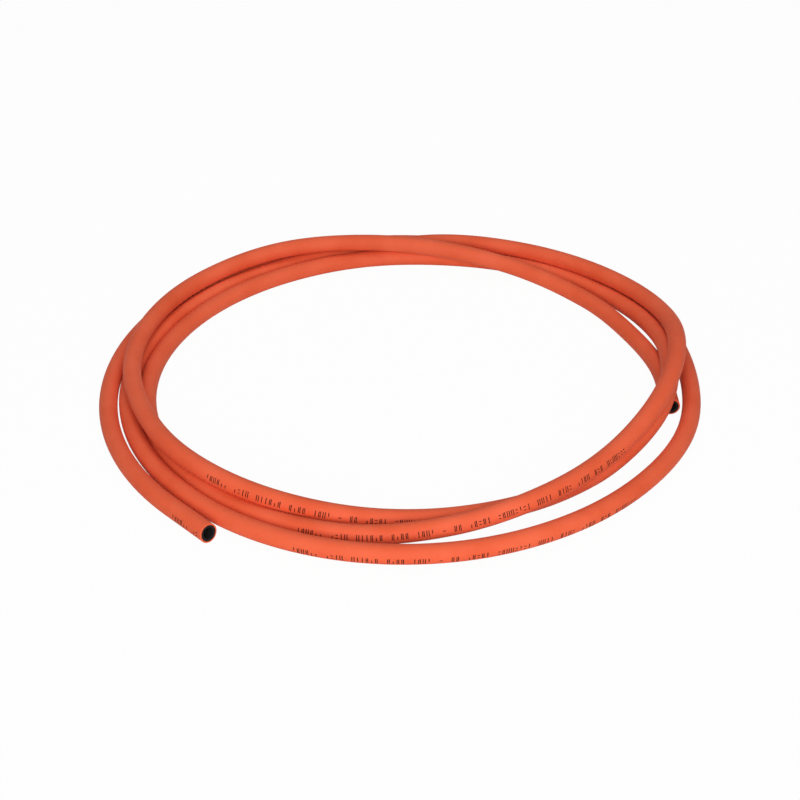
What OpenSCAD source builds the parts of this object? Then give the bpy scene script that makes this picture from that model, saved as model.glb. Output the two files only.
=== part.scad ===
// Rubber gas hose, laid down in a loose coil with both cut ends free.
// Millimetres, +Z up, origin on the table under the middle of the coil.

/* [Hose] */
// Bore, to suit the nozzle that the hose is pushed onto
bore_d = 10; // [6:0.5:12]
// Wall, cover and lining together
wall = 3.5; // [2:0.25:5]
// Straight stretch at each cut end
end_len = 30; // [20:1:40]

/* [Coil] */
// Radius of the outermost lane, to the middle of the hose
coil_r = 275; // [230:5:330]

/* [Hidden] */

hose_od = bore_d + 2 * wall;

// The route is read clockwise from above, in degrees from +X, at a station every 20 degrees.
// Stations 18 apart lie above or beside each other. The first and last only set a direction.
station_step = 20;
first_station = 100;
sweep_from = 133;
sweep_to = 1443;

// Lane at each station, in strand pitches inwards from the outermost lane.
lanes = [
    -1.05, -0.75, -0.45, -0.15, 0.1, 0.25, 0.3, 0.4, 0.15, 0.1, -0.1, -0.35, -0.15,
    0.1, 0.05, 0.2, 0.2, 0.15, 0.2, 0.4, 0.7, 0.95, 1.15, 1.4, 1.5, 1.45, 1.2, 0.95, 0.6, 0.25, 0.2,
    0.9, 1.6, 2.1, 1.95, 1.8, 1.5, 1.45, 1.7, 1.95, 2.2, 2.4, 2.5, 2.45, 2.2, 1.9, 1.3, 0.75, 0.85,
    1.25, 1.6, 2.35, 2.65, 2.85, 2.85, 2.1, 1.7, 1.6, 1.25, 1.05, 0.85, 1.15, 1.9, 2.55, 2.25, 2.05, 2.05,
    1.55, 1.3, 1.05
];

// Layer at each station: 0 on the table, 1 on one strand, 2 on two.
layers = [
    0, 0, 0, 0, 0, 0, 0, 0, 0, 0, 0, 0, 0,
    0, 0, 0, 0, 0, 0, 0, 0, 0, 0, 0, 0, 0, 0.1, 0.6, 0.75, 0.9, 1.25,
    2.05, 1.8, 1.05, 0.8, 0.3, 0, 0, 0, 0, 0, 0, 0, 0, 0, 0, 0, 0, 0.4,
    1.05, 0.8, 0.05, 0, 0, 0.15, 0.8, 1.05, 1.0, 1.0, 1.0, 0.9, 1.05, 1.05, 0.95, 0.4, 0, 0,
    0, 0, 0
];

// Strands that lie against each other keep this much room, because flat sides don't nest.
strand_gap = 0.3;
pitch = hose_od + strand_gap;

// Flat sides around the swept hose, and rings along it.
sides = 12;
ring_count = 81;
// Each straight end runs this far into the swept hose.
lap = 0.5;
// Facets drawn around the straight ends, which are true cylinders.
round_fn = 64;
// Half of the angle over which the route's direction is measured.
half_step = 0.5;

// A smooth curve through the values of a list, one value at each station.
function eased(list, angle) =
    let (s = (angle - first_station) / station_step)
    let (i = floor(s))
    let (t = s - i)
    let (rise = list[i + 1] - list[i])
    let (leave = (list[i + 1] - list[i - 1]) / 2)
    let (arrive = (list[i + 2] - list[i]) / 2)
    list[i] + t * (leave + t * (3 * rise - 2 * leave - arrive + t * (leave + arrive - 2 * rise)));

// The middle of the hose at an angle along the coil, before the coil is centred.
function laid(angle) =
    let (r = coil_r - pitch * eased(lanes, angle))
    let (z = hose_od / 2 + pitch * max(0, eased(layers, angle)))
    [r * cos(angle), -r * sin(angle), z];

ring_angles = [
    for (k = [0:ring_count - 1]) sweep_from + (sweep_to - sweep_from) * k / (ring_count - 1)
];
laid_rings = [for (a = ring_angles) laid(a)];
laid_x = [for (p = laid_rings) p.x];
laid_y = [for (p = laid_rings) p.y];
coil_mid = [(min(laid_x) + max(laid_x)) / 2, (min(laid_y) + max(laid_y)) / 2, 0];

function unit(v) = v / norm(v);
function spine(angle) = laid(angle) - coil_mid;
function heading(angle) = unit(laid(angle + half_step) - laid(angle - half_step));

// A flat-sided section with the same area as a round one of radius r.
function flat_sided(r) = r * sqrt(2 * PI / (sides * sin(360 / sides)));

// One section of the hose, square to the route, with a flat side down.
function ring(angle, r) =
    let (along = heading(angle))
    let (across = unit(cross(along, [0, 0, 1])))
    let (up = cross(across, along))
    [
        for (j = [0:sides - 1])
            let (turn = (j + 0.5) * 360 / sides)
            spine(angle) + flat_sided(r) * (across * cos(turn) + up * sin(turn))
    ];

// The hose between its two straight ends: an outer and a bore section at each ring.
module swept_hose() {
    outer = [for (a = ring_angles) each ring(a, hose_od / 2)];
    bore = [for (a = ring_angles) each ring(a, bore_d / 2)];
    skin = len(outer);
    last = (ring_count - 1) * sides;
    polyhedron(
        points = concat(outer, bore),
        faces = [
            for (k = [0:ring_count - 2], j = [0:sides - 1])
                let (a = k * sides + j, b = k * sides + (j + 1) % sides)
                each [
                    [a, b, b + sides, a + sides],
                    [skin + a, skin + a + sides, skin + b + sides, skin + b]
                ],
            for (j = [0:sides - 1])
                let (next = (j + 1) % sides)
                each [
                    [j, skin + j, skin + next, next],
                    [last + j, last + next, skin + last + next, skin + last + j]
                ]
        ],
        convexity = 10
    );
}

// A rod along the hose from a ring outwards, to be an end or to drill its bore.
module end_rod(angle, way, r, from, to) {
    along = heading(angle) * way;
    translate(spine(angle))
        rotate([0, 90, atan2(along.y, along.x)])
            translate([0, 0, from])
                cylinder(r = r, h = to - from, $fn = round_fn);
}

module hose() {
    color("#e0643c")
        difference() {
            union() {
                swept_hose();
                end_rod(sweep_from, -1, hose_od / 2, -lap, end_len);
                end_rod(sweep_to, 1, hose_od / 2, -lap, end_len);
            }
            end_rod(sweep_from, -1, bore_d / 2, -2 * lap, end_len + 1);
            end_rod(sweep_to, 1, bore_d / 2, -2 * lap, end_len + 1);
        }
}

hose();
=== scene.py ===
import math
import random

import bpy
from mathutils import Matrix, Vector


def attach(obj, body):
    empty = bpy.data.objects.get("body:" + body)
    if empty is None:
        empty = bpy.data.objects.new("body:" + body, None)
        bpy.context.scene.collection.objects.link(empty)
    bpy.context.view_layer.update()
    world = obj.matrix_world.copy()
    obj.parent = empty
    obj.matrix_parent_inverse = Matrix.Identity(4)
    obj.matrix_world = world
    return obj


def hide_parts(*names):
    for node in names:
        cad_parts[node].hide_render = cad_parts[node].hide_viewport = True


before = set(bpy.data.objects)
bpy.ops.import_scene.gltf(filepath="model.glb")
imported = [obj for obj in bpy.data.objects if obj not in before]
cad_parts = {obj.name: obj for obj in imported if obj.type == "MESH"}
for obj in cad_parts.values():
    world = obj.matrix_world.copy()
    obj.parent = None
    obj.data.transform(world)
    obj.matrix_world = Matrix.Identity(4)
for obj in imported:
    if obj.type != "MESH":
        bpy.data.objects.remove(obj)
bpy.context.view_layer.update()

# The photograph's frame, and the camera that was solved from the coil in it.
photo = {
    "width": 800,  # pixels
    "focalPixels": 1612,  # a long lens
    "sensor": 36.0,  # millimetres
    "elevation": 33.0,  # degrees
    "distance": 1.514,
    "target": (-0.0009, -0.0298, 0.0),
    "clipStart": 0.05,
}

# The hose and how it lies, in metres and degrees. The route is read clockwise from above, with a
# station every 20 degrees. It is the construction's, apart from the longer ends, the strand gap,
# and a strand that was moved by up to 1 mm at stations 1180 and 1200 to close a slit.
hose = {
    "bore": 0.010,
    "wall": 0.0035,
    "coverWall": 0.0013,  # the orange part of the wall, as the cut ends show it
    "leftEnd": 0.052,  # straight, from the sweep to the mouth
    "rightEnd": 0.041,
    "coilRadius": 0.275,  # to the middle of the hose in the outermost lane
    "strandGap": 0.00005,
    "firstStation": 100,
    "stationStep": 20,
    "sweepFrom": 133,
    "sweepTo": 1443,
    "constructionRings": 81,  # the coil is centred by these
    "pathStep": 2.0,
    "endSteps": 5,
    "halfStep": 0.5,  # half of the angle over which a direction is measured
    "sides": 48,
    "cutRadius": 0.00025,  # rounding of the cut edges
    "cutTilt": 8.0,  # how far the left end was cut out of square
    "sharpAngle": 38.0,  # past this an edge is shaded sharp
}

# Lane of each station, in pitches inwards from the outermost lane: half a turn in a row.
lanes = [
    -1.05, -0.75, -0.45, -0.15,  # from 100 degrees
    0.1, 0.25, 0.3, 0.4, 0.15, 0.1, -0.1, -0.35, -0.15,  # 180
    0.1, 0.05, 0.2, 0.2, 0.15, 0.2, 0.4, 0.7, 0.95,  # 360
    1.15, 1.4, 1.5, 1.45, 1.2, 0.95, 0.6, 0.25, 0.2,  # 540
    0.9, 1.6, 2.1, 1.95, 1.8, 1.5, 1.45, 1.7, 1.95,  # 720
    2.2, 2.4, 2.5, 2.45, 2.2, 1.9, 1.3, 0.75, 0.85,  # 900
    1.25, 1.6, 2.35, 2.65, 2.85, 2.8, 2.07, 1.7, 1.6,  # 1080
    1.25, 1.05, 0.85, 1.15, 1.9, 2.55, 2.25, 2.05, 2.05,  # 1260
    1.55, 1.3, 1.05,  # 1440
]

# Layer of each station, in the same rows: 0 on the table, 1 on one strand, 2 on two.
layers = [
    0, 0, 0, 0,
    0, 0, 0, 0, 0, 0, 0, 0, 0,
    0, 0, 0, 0, 0, 0, 0, 0, 0,
    0, 0, 0, 0, 0.1, 0.6, 0.75, 0.9, 1.25,
    2.05, 1.8, 1.05, 0.8, 0.3, 0, 0, 0, 0,
    0, 0, 0, 0, 0, 0, 0, 0, 0.4,
    1.05, 0.8, 0.05, 0, 0, 0.12, 0.76, 1.05, 1.0,
    1.0, 1.0, 0.9, 1.05, 1.05, 0.95, 0.4, 0, 0,
    0, 0, 0,
]

hoseRadius = hose["bore"] / 2 + hose["wall"]
pitch = 2 * hoseRadius + hose["strandGap"]


def eased(values, angle):
    # A smooth curve through the values, one at each station.
    place = (angle - hose["firstStation"]) / hose["stationStep"]
    i = math.floor(place)
    t = place - i
    rise = values[i + 1] - values[i]
    leave = (values[i + 1] - values[i - 1]) / 2
    arrive = (values[i + 2] - values[i]) / 2
    square = 3 * rise - 2 * leave - arrive
    cube = leave + arrive - 2 * rise
    return values[i] + t * (leave + t * (square + t * cube))


def laid(angle):
    # The middle of the hose at an angle along the route, before the coil is centred.
    radius = hose["coilRadius"] - pitch * eased(lanes, angle)
    height = hoseRadius + pitch * max(0.0, eased(layers, angle))
    turn = math.radians(angle)
    return Vector((radius * math.cos(turn), -radius * math.sin(turn), height))


def heading(angle):
    return (laid(angle + hose["halfStep"]) - laid(angle - hose["halfStep"])).normalized()


def sweepAngles(count):
    first = hose["sweepFrom"]
    return [first + (hose["sweepTo"] - first) * k / (count - 1) for k in range(count)]


def coilMiddle():
    rings = [laid(a) for a in sweepAngles(hose["constructionRings"])]
    xs = [p.x for p in rings]
    ys = [p.y for p in rings]
    return Vector(((min(xs) + max(xs)) / 2, (min(ys) + max(ys)) / 2, 0))


def hosePath():
    # The middle line of the hose, from the left mouth to the right one.
    middle = coilMiddle()
    count = round((hose["sweepTo"] - hose["sweepFrom"]) / hose["pathStep"]) + 1
    swept = [laid(a) - middle for a in sweepAngles(count)]
    leftEnd = heading(hose["sweepFrom"]) * hose["leftEnd"]
    rightEnd = heading(hose["sweepTo"]) * hose["rightEnd"]
    steps = hose["endSteps"]
    before = [swept[0] - leftEnd * (steps - k) / steps for k in range(steps)]
    after = [swept[-1] + rightEnd * (k + 1) / steps for k in range(steps)]
    return before + swept + after


path = hosePath()
distances = [0.0]
for here, there in zip(path, path[1:]):
    distances.append(distances[-1] + (there - here).length)
hoseLength = distances[-1]
print("route laid,", round(hoseLength, 3), "m of hose")


def linear(hexColour):
    # An sRGB hex colour as the linear values that shaders take.
    out = []
    for k in (1, 3, 5):
        c = int(hexColour[k:k + 2], 16) / 255
        out.append(c / 12.92 if c <= 0.04045 else ((c + 0.055) / 1.055) ** 2.4)
    return (*out, 1.0)


def addNode(tree, kind, settings=None, inputs=None, links=None):
    # Adds a node, with its settings, its input values and the links that feed it.
    node = tree.nodes.new(kind)
    for name, value in (settings or {}).items():
        setattr(node, name, value)
    for key, value in (inputs or {}).items():
        node.inputs[key].default_value = value
    for key, source in (links or {}).items():
        tree.links.new(source, node.inputs[key])
    return node


def newMaterial(name):
    material = bpy.data.materials.new(name)
    material.use_nodes = True
    tree = material.node_tree
    tree.nodes.clear()
    return material, tree


def newObject(name, data):
    made = bpy.data.objects.new(name, data)
    bpy.context.scene.collection.objects.link(made)
    return made


def setUpCamera():
    rise = math.radians(photo["elevation"])
    target = Vector(photo["target"])
    back = Vector((0, -math.cos(rise), math.sin(rise)))
    camera = newObject("photoCamera", bpy.data.cameras.new("photoCamera"))
    camera.data.sensor_width = photo["sensor"]
    camera.data.lens = photo["focalPixels"] / photo["width"] * photo["sensor"]
    camera.data.clip_start = photo["clipStart"]
    camera.location = target + back * photo["distance"]
    camera.rotation_euler = (target - camera.location).to_track_quat("-Z", "Y").to_euler()
    bpy.context.scene.camera = camera


setUpCamera()
print("camera set")


def routeCurve():
    # The middle line of the hose as a curve, for the nodes to read.
    data = bpy.data.curves.new("route", "CURVE")
    data.dimensions = "3D"
    spline = data.splines.new("POLY")
    spline.points.add(len(path) - 1)
    for point, place in zip(spline.points, path):
        point.co = (*place, 1.0)
    return newObject("route", data)


def addWrapNodes(tree, flat, route):
    # Wraps a flat layout round the route. In the layout x is the distance along the route, y the
    # angle up from the coil's outer side and z the radius.
    info = addNode(tree, "GeometryNodeObjectInfo", {"transform_space": "RELATIVE"},
                   links={"Object": route})
    place = addNode(tree, "GeometryNodeInputPosition")
    parts = addNode(tree, "ShaderNodeSeparateXYZ", links={0: place.outputs[0]})
    sample = addNode(tree, "GeometryNodeSampleCurve", {"mode": "LENGTH"},
                     links={"Curves": info.outputs["Geometry"], "Length": parts.outputs["X"]})
    across = addNode(tree, "ShaderNodeVectorMath", {"operation": "CROSS_PRODUCT"},
                     {0: (0, 0, 1)}, {1: sample.outputs["Tangent"]})
    outwards = addNode(tree, "ShaderNodeVectorMath", {"operation": "NORMALIZE"},
                       links={0: across.outputs[0]})
    up = addNode(tree, "ShaderNodeVectorMath", {"operation": "CROSS_PRODUCT"},
                 links={0: sample.outputs["Tangent"], 1: outwards.outputs[0]})
    cosine = addNode(tree, "ShaderNodeMath", {"operation": "COSINE"},
                     links={0: parts.outputs["Y"]})
    sine = addNode(tree, "ShaderNodeMath", {"operation": "SINE"}, links={0: parts.outputs["Y"]})
    sideways = addNode(tree, "ShaderNodeVectorMath", {"operation": "SCALE"},
                       links={0: outwards.outputs[0], "Scale": cosine.outputs[0]})
    upwards = addNode(tree, "ShaderNodeVectorMath", {"operation": "SCALE"},
                      links={0: up.outputs[0], "Scale": sine.outputs[0]})
    both = addNode(tree, "ShaderNodeVectorMath", {"operation": "ADD"},
                   links={0: sideways.outputs[0], 1: upwards.outputs[0]})
    reach = addNode(tree, "ShaderNodeVectorMath", {"operation": "SCALE"},
                    links={0: both.outputs[0], "Scale": parts.outputs["Z"]})
    final = addNode(tree, "ShaderNodeVectorMath", {"operation": "ADD"},
                    links={0: sample.outputs["Position"], 1: reach.outputs[0]})
    return addNode(tree, "GeometryNodeSetPosition",
                   links={"Geometry": flat, "Position": final.outputs[0]})


def newTree(name, sockets):
    # A geometry tree that takes a layout, the route and the named sockets.
    tree = bpy.data.node_groups.new(name, "GeometryNodeTree")
    inputs = {"Geometry": "NodeSocketGeometry", "Route": "NodeSocketObject", **sockets}
    for socket, kind in inputs.items():
        tree.interface.new_socket(socket, in_out="INPUT", socket_type=kind)
    tree.interface.new_socket("Geometry", in_out="OUTPUT", socket_type="NodeSocketGeometry")
    return tree, addNode(tree, "NodeGroupInput")


def setInputs(modifier, values):
    for item in modifier.node_group.interface.items_tree:
        if item.in_out == "INPUT" and item.name in values:
            modifier[item.identifier] = values[item.name]


def madePlain(name, layout, tree, values):
    # Runs a tree on a layout and keeps what it makes as a plain mesh.
    source = newObject(name + "Layout", layout)
    modifier = source.modifiers.new("build", "NODES")
    modifier.node_group = tree
    setInputs(modifier, values)
    evaluated = source.evaluated_get(bpy.context.evaluated_depsgraph_get())
    mesh = bpy.data.meshes.new_from_object(evaluated)
    source.modifiers.remove(modifier)
    bpy.data.objects.remove(source)
    mesh.name = name
    return newObject(name, mesh)


def hoseLayout():
    # The skin of the hose laid flat: out along the cover, over the far cut, back along the bore
    # and over the near cut. A step of the loop says whether the faces after it are black lining.
    cut = hose["cutRadius"]
    bore = hose["bore"] / 2
    edge = hoseRadius - hose["coverWall"]
    along = [cut] + distances[1:-1] + [hoseLength - cut]
    loop = [(x, hoseRadius, False) for x in along]
    loop += [(hoseLength, hoseRadius - cut, False), (hoseLength, edge, True)]
    loop += [(hoseLength, bore + cut, True)]
    loop += [(x, bore, True) for x in reversed(along)]
    loop += [(0, bore + cut, True), (0, edge, False), (0, hoseRadius - cut, False)]

    # The left end was cut a little out of square, so its mouth faces up a few degrees.
    sides = hose["sides"]
    slant = math.tan(math.radians(hose["cutTilt"]))
    verts = []
    for x, radius, _ in loop:
        for j in range(sides):
            turn = 2 * math.pi * j / sides
            setBack = slant * (hoseRadius + radius * math.sin(turn)) if x <= cut else 0
            verts.append((x + setBack, turn, radius))

    faces = []
    black = []
    for k, (_, _, isLining) in enumerate(loop):
        here = k * sides
        there = (k + 1) % len(loop) * sides
        for j in range(sides):
            nextSide = (j + 1) % sides
            faces.append((here + j, there + j, there + nextSide, here + nextSide))
            black.append(isLining)
    mesh = bpy.data.meshes.new("hoseLayout")
    mesh.from_pydata(verts, [], faces)
    mesh.attributes.new("lining", "BOOLEAN", "FACE").data.foreach_set("value", black)

    # Metres along the hose and round it, for the lines that the die leaves.
    wrap = mesh.uv_layers.new(name="wrap").data
    for face in mesh.polygons:
        for corner, vertex in zip(face.loop_indices, face.vertices):
            turn = vertex % sides / sides
            if vertex % sides == 0 and face.index % sides == sides - 1:
                turn = 1.0  # the last side ends the round
            wrap[corner].uv = (verts[vertex][0], turn * 2 * math.pi * hoseRadius)
    return mesh


def hoseTree():
    tree, given = newTree("hoseTree", {"Cover": "NodeSocketMaterial",
                                       "Lining": "NodeSocketMaterial"})
    wrapped = addWrapNodes(tree, given.outputs["Geometry"], given.outputs["Route"])
    smooth = addNode(tree, "GeometryNodeSetShadeSmooth", links={"Geometry": wrapped.outputs[0]})
    black = addNode(tree, "GeometryNodeInputNamedAttribute", {"data_type": "BOOLEAN"},
                    {"Name": "lining"})
    whole = addNode(tree, "GeometryNodeRealizeInstances", links={0: smooth.outputs[0]})
    covered = addNode(tree, "GeometryNodeSetMaterial",
                      links={"Geometry": whole.outputs[0], "Material": given.outputs["Cover"]})
    lined = addNode(tree, "GeometryNodeSetMaterial",
                    links={"Geometry": covered.outputs[0], "Selection": black.outputs[0],
                           "Material": given.outputs["Lining"]})
    addNode(tree, "NodeGroupOutput", links={0: lined.outputs[0]})
    return tree


# Vulcanised natural-rubber cover, extruded: a dull orange with soft paler patches, a fine grain and
# faint lines along it from the die. The real grain is near 0.1 mm, drawn coarser so that it shows.
cover = {
    "paler": "#ed6743",
    "deeper": "#e05730",
    "tintStops": (0.3, 0.7),
    "patchSize": 0.045,
    "patchDetail": 4.0,
    "roughness": 0.7,
    "roughnessSpread": 0.06,
    "ior": 1.52,
    "specular": 0.25,
    "sheen": 0.05,
    "sheenRoughness": 0.5,
    "sheenColour": "#ffb8a8",
    "grainSize": 0.0004,
    "grainDetail": 2.0,
    "grainHeight": 0.00003,
    "grainStrength": 0.6,
    "dieLines": 28,  # round the hose, just under 2 mm apart
    "lineHeight": 0.00002,
    "lineStrength": 0.5,
}


def coverMaterial():
    material, tree = newMaterial("vulcanisedRubberCover")
    where = addNode(tree, "ShaderNodeTexCoord")
    wrap = addNode(tree, "ShaderNodeUVMap", {"uv_map": "wrap"})
    patches = addNode(tree, "ShaderNodeTexNoise",
                      inputs={"Scale": 1 / cover["patchSize"], "Detail": cover["patchDetail"]},
                      links={"Vector": where.outputs["Object"]})
    tint = addNode(tree, "ShaderNodeValToRGB", links={"Fac": patches.outputs[0]})
    colours = (cover["deeper"], cover["paler"])
    for stop, place, colour in zip(tint.color_ramp.elements, cover["tintStops"], colours):
        stop.position = place
        stop.color = linear(colour)
    rough = addNode(tree, "ShaderNodeMapRange",
                    inputs={"To Min": cover["roughness"] - cover["roughnessSpread"],
                            "To Max": cover["roughness"] + cover["roughnessSpread"]},
                    links={"Value": patches.outputs[0]})
    parts = addNode(tree, "ShaderNodeSeparateXYZ", links={0: wrap.outputs[0]})
    across = addNode(tree, "ShaderNodeMath", {"operation": "MULTIPLY"},
                     {1: cover["dieLines"] / hoseRadius}, {0: parts.outputs["Y"]})
    lines = addNode(tree, "ShaderNodeMath", {"operation": "SINE"}, links={0: across.outputs[0]})
    lineBump = addNode(tree, "ShaderNodeBump",
                       inputs={"Strength": cover["lineStrength"], "Distance": cover["lineHeight"]},
                       links={"Height": lines.outputs[0]})
    grain = addNode(tree, "ShaderNodeTexNoise",
                    inputs={"Scale": 1 / cover["grainSize"], "Detail": cover["grainDetail"]},
                    links={"Vector": where.outputs["Object"]})
    grainBump = addNode(tree, "ShaderNodeBump",
                        inputs={"Strength": cover["grainStrength"],
                                "Distance": cover["grainHeight"]},
                        links={"Height": grain.outputs[0], "Normal": lineBump.outputs[0]})
    surface = addNode(tree, "ShaderNodeBsdfPrincipled",
                      inputs={"IOR": cover["ior"], "Specular IOR Level": cover["specular"],
                              "Sheen Weight": cover["sheen"],
                              "Sheen Roughness": cover["sheenRoughness"],
                              "Sheen Tint": linear(cover["sheenColour"])},
                      links={"Base Color": tint.outputs[0], "Roughness": rough.outputs[0],
                             "Normal": grainBump.outputs[0]})
    addNode(tree, "ShaderNodeOutputMaterial", links={"Surface": surface.outputs[0]})
    return material


# Black natural-rubber lining: dull, with hardly a reflection and a trace of dust.
lining = {
    "colour": "#0b0908",
    "dusty": "#17120f",
    "roughness": 0.8,
    "ior": 1.52,
    "specular": 0.2,
    "patchSize": 0.006,
    "patchDetail": 3.0,
}


def liningMaterial():
    material, tree = newMaterial("blackRubberLining")
    where = addNode(tree, "ShaderNodeTexCoord")
    patches = addNode(tree, "ShaderNodeTexNoise",
                      inputs={"Scale": 1 / lining["patchSize"], "Detail": lining["patchDetail"]},
                      links={"Vector": where.outputs["Object"]})
    tint = addNode(tree, "ShaderNodeValToRGB", links={"Fac": patches.outputs[0]})
    for stop, colour in zip(tint.color_ramp.elements, (lining["colour"], lining["dusty"])):
        stop.color = linear(colour)
    surface = addNode(tree, "ShaderNodeBsdfPrincipled",
                      inputs={"Roughness": lining["roughness"], "IOR": lining["ior"],
                              "Specular IOR Level": lining["specular"]},
                      links={"Base Color": tint.outputs[0]})
    addNode(tree, "ShaderNodeOutputMaterial", links={"Surface": surface.outputs[0]})
    return material


# The marking: plain bars, ticks and dashes in groups, a block of them every 0.8 m along the hose.
marking = {
    "firstEnd": 0.042,  # where the first block ends, from the left mouth
    "blockStep": 0.8085,
    # The hose is a little twisted as it lies: each block's angle up from the coil's outer side.
    "blockAngles": (4, -16, -10, 0, 16, 14, 16, 14),
    "groups": (7, 3, 4, 4, 4, 8, 5, 2, 1, 4, 4, 6, 4, 6),  # marks in each group of a block
    "groupGap": 0.0058,
    "markStep": 0.0037,
    "markHeight": 0.0056,
    "strokeWidth": 0.00075,
    "tickWidth": 0.0020,
    "proud": 0.00005,
    "depth": 0.00030,
    "bendPoints": 5,  # along a stroke's height, so that it bends round the hose
    "leadIn": 0.006,  # kept clear at both mouths
    "draws": ("bar", "pair", "spread", "spread", "pair", "high", "low", "split"),
    "seed": 11,
}


def markStrokes():
    # The strokes of one block: place along the hose, height round it, width and height.
    rng = random.Random(marking["seed"])
    high = marking["markHeight"]
    thin = marking["strokeWidth"]
    tick = marking["tickWidth"]
    kinds = {
        "bar": [(0, 0, thin, high)],
        "pair": [(-0.8 * thin, 0, thin, high), (0.9 * thin, 0, thin, 0.9 * high)],
        "spread": [(-1.2 * thin, 0, thin, high), (1.2 * thin, 0, thin, high)],
        "high": [(0, 0.2 * high, thin, 0.6 * high)],
        "low": [(0, -0.2 * high, thin, 0.6 * high)],
        "split": [(0, 0.25 * high, tick, thin), (0, -0.25 * high, tick, thin)],
        "dash": [(0, 0, 1.3 * tick, thin)],
    }
    strokes = []
    at = 0.0
    for count in marking["groups"]:
        for _ in range(count):
            kind = "dash" if count == 1 else rng.choice(marking["draws"])
            strokes += [(at + x, y, w, h) for x, y, w, h in kinds[kind]]
            at += marking["markStep"]
        at += marking["groupGap"]
    return strokes, at - marking["groupGap"]


def markingLayout():
    # One point for each stroke, which carries its sizes.
    strokes, blockLength = markStrokes()
    clear = marking["leadIn"]
    places = []
    sizes = []
    for k, angle in enumerate(marking["blockAngles"]):
        start = marking["firstEnd"] + k * marking["blockStep"] - blockLength
        for x, y, w, h in strokes:
            if clear < start + x < hoseLength - clear:
                places.append((start + x, math.radians(angle) + y / hoseRadius, hoseRadius))
                sizes += (w, h / hoseRadius, 1.0)
    mesh = bpy.data.meshes.new("markingLayout")
    mesh.from_pydata(places, [], [])
    strokeSize = mesh.attributes.new("strokeSize", "FLOAT_VECTOR", "POINT")
    strokeSize.data.foreach_set("vector", sizes)
    return mesh


def markingTree():
    # Each stroke is a small block, flat until it is wrapped, that stands proud of the cover.
    tree, given = newTree("markingTree", {"Ink": "NodeSocketMaterial", "Proud": "NodeSocketFloat",
                                          "Depth": "NodeSocketFloat"})
    total = addNode(tree, "ShaderNodeMath", {"operation": "ADD"},
                    links={0: given.outputs["Proud"], 1: given.outputs["Depth"]})
    size = addNode(tree, "ShaderNodeCombineXYZ", inputs={"X": 1.0, "Y": 1.0},
                   links={"Z": total.outputs[0]})
    block = addNode(tree, "GeometryNodeMeshCube",
                    inputs={"Vertices X": 2, "Vertices Y": marking["bendPoints"], "Vertices Z": 2},
                    links={"Size": size.outputs[0]})
    half = addNode(tree, "ShaderNodeMath", {"operation": "MULTIPLY"}, {1: 0.5},
                   {0: total.outputs[0]})
    drop = addNode(tree, "ShaderNodeMath", {"operation": "SUBTRACT"},
                   links={0: given.outputs["Proud"], 1: half.outputs[0]})
    offset = addNode(tree, "ShaderNodeCombineXYZ", links={"Z": drop.outputs[0]})
    stroke = addNode(tree, "GeometryNodeTransform",
                     links={"Geometry": block.outputs[0], "Translation": offset.outputs[0]})
    scale = addNode(tree, "GeometryNodeInputNamedAttribute", {"data_type": "FLOAT_VECTOR"},
                    {"Name": "strokeSize"})
    placed = addNode(tree, "GeometryNodeInstanceOnPoints",
                     links={"Points": given.outputs["Geometry"], "Instance": stroke.outputs[0],
                            "Scale": scale.outputs[0]})
    flat = addNode(tree, "GeometryNodeRealizeInstances", links={0: placed.outputs[0]})
    wrapped = addWrapNodes(tree, flat.outputs[0], given.outputs["Route"])
    whole = addNode(tree, "GeometryNodeRealizeInstances", links={0: wrapped.outputs[0]})
    inked = addNode(tree, "GeometryNodeSetMaterial",
                    links={"Geometry": whole.outputs[0], "Material": given.outputs["Ink"]})
    addNode(tree, "NodeGroupOutput", links={0: inked.outputs[0]})
    return tree


# Dark printing ink on rubber: brown-black, a little worn, so the orange shows through it.
ink = {
    "colour": "#2c0d08",
    "worn": "#642214",
    "wearStops": (0.45, 0.7),
    "wearSize": 0.002,
    "wearDetail": 3.0,
    "roughness": 0.7,
    "ior": 1.5,
    "specular": 0.15,
}


def inkMaterial():
    material, tree = newMaterial("printedInk")
    where = addNode(tree, "ShaderNodeTexCoord")
    wear = addNode(tree, "ShaderNodeTexNoise",
                   inputs={"Scale": 1 / ink["wearSize"], "Detail": ink["wearDetail"]},
                   links={"Vector": where.outputs["Object"]})
    tint = addNode(tree, "ShaderNodeValToRGB", links={"Fac": wear.outputs[0]})
    colours = (ink["colour"], ink["worn"])
    for stop, place, colour in zip(tint.color_ramp.elements, ink["wearStops"], colours):
        stop.position = place
        stop.color = linear(colour)
    surface = addNode(tree, "ShaderNodeBsdfPrincipled",
                      inputs={"Roughness": ink["roughness"], "IOR": ink["ior"],
                              "Specular IOR Level": ink["specular"]},
                      links={"Base Color": tint.outputs[0]})
    addNode(tree, "ShaderNodeOutputMaterial", links={"Surface": surface.outputs[0]})
    return material


route = routeCurve()
gasHose = madePlain("gasHose", hoseLayout(), hoseTree(),
                    {"Route": route, "Cover": coverMaterial(), "Lining": liningMaterial()})
gasHose.data.set_sharp_from_angle(angle=math.radians(hose["sharpAngle"]))
print("hose made,", len(gasHose.data.polygons), "faces")

hoseMarking = madePlain("hoseMarking", markingLayout(), markingTree(),
                        {"Route": route, "Ink": inkMaterial(), "Proud": marking["proud"],
                         "Depth": marking["depth"]})
print("marking made,", len(hoseMarking.data.polygons), "faces")
bpy.data.objects.remove(route)

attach(gasHose, "root")
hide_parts("hose")
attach(hoseMarking, "root")

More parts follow.
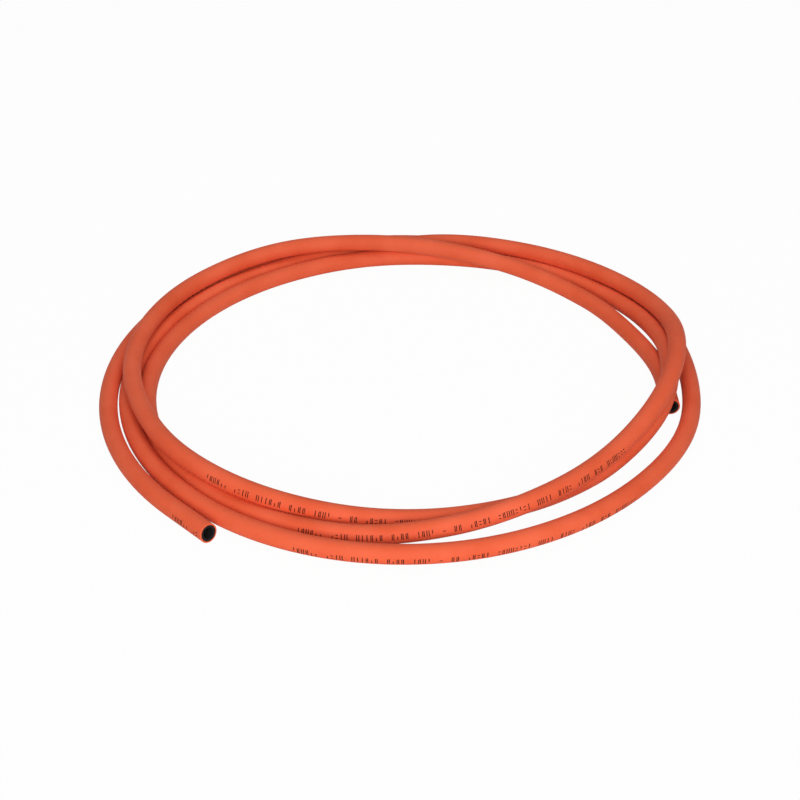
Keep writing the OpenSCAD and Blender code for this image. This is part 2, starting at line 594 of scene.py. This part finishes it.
# The studio: paper that reads as white, a soft light above and behind, and a broad one in front.
studio = {
    "floorSize": 8.0,
    "floorColour": "#dcdcdc",
    "white": "#ffffff",
    "paperGlow": 0.97,  # how much of the white the camera sees, the rest takes the shadows
    "overhead": 8.0,  # watts
    "overheadSize": 0.8,
    "overheadPlace": (0.0, 0.6, 1.65),
    "front": 40.0,
    "frontSize": 1.5,
    "frontPlace": (0.1, -1.95, 0.95),
    "world": 0.17,
}


def whiteBehind(tree, seen, lit, share):
    # The camera and reflections see mostly the first shader, and other light meets the second.
    ray = addNode(tree, "ShaderNodeLightPath")
    either = addNode(tree, "ShaderNodeMath", {"operation": "MAXIMUM"},
                     links={0: ray.outputs["Is Camera Ray"], 1: ray.outputs["Is Glossy Ray"]})
    whole = addNode(tree, "ShaderNodeMath", {"operation": "MAXIMUM"},
                    links={0: either.outputs[0], 1: ray.outputs["Is Transmission Ray"]})
    amount = addNode(tree, "ShaderNodeMath", {"operation": "MULTIPLY"}, {1: share},
                     {0: whole.outputs[0]})
    return addNode(tree, "ShaderNodeMixShader",
                   links={0: amount.outputs[0], 1: lit.outputs[0], 2: seen.outputs[0]})


def paperMaterial():
    material, tree = newMaterial("whitePaper")
    lit = addNode(tree, "ShaderNodeBsdfDiffuse", inputs={"Color": linear(studio["floorColour"])})
    seen = addNode(tree, "ShaderNodeEmission",
                   inputs={"Color": linear(studio["white"]), "Strength": 1.0})
    mixed = whiteBehind(tree, seen, lit, studio["paperGlow"])
    addNode(tree, "ShaderNodeOutputMaterial", links={"Surface": mixed.outputs[0]})
    return material


def addLamp(name):
    # Each lamp points at the middle of the coil.
    lamp = bpy.data.lights.new(name, "AREA")
    lamp.energy = studio[name]
    lamp.size = studio[name + "Size"]
    holder = newObject(name, lamp)
    holder.location = studio[name + "Place"]
    holder.rotation_euler = (-holder.location).to_track_quat("-Z", "Y").to_euler()


def setUpStudio():
    half = studio["floorSize"] / 2
    corners = [(-half, -half, 0), (half, -half, 0), (half, half, 0), (-half, half, 0)]
    mesh = bpy.data.meshes.new("floor")
    mesh.from_pydata(corners, [], [(0, 1, 2, 3)])
    mesh.materials.append(paperMaterial())
    newObject("floor", mesh)
    addLamp("overhead")
    addLamp("front")

    world = bpy.data.worlds.new("studioWorld")
    world.use_nodes = True
    tree = world.node_tree
    tree.nodes.clear()
    white = linear(studio["white"])
    lit = addNode(tree, "ShaderNodeBackground",
                  inputs={"Color": white, "Strength": studio["world"]})
    seen = addNode(tree, "ShaderNodeBackground", inputs={"Color": white, "Strength": 1.0})
    mixed = whiteBehind(tree, seen, lit, 1.0)
    addNode(tree, "ShaderNodeOutputWorld", links={"Surface": mixed.outputs[0]})
    bpy.context.scene.world = world


setUpStudio()
bpy.context.scene.view_settings.view_transform = "Standard"
print("studio set")
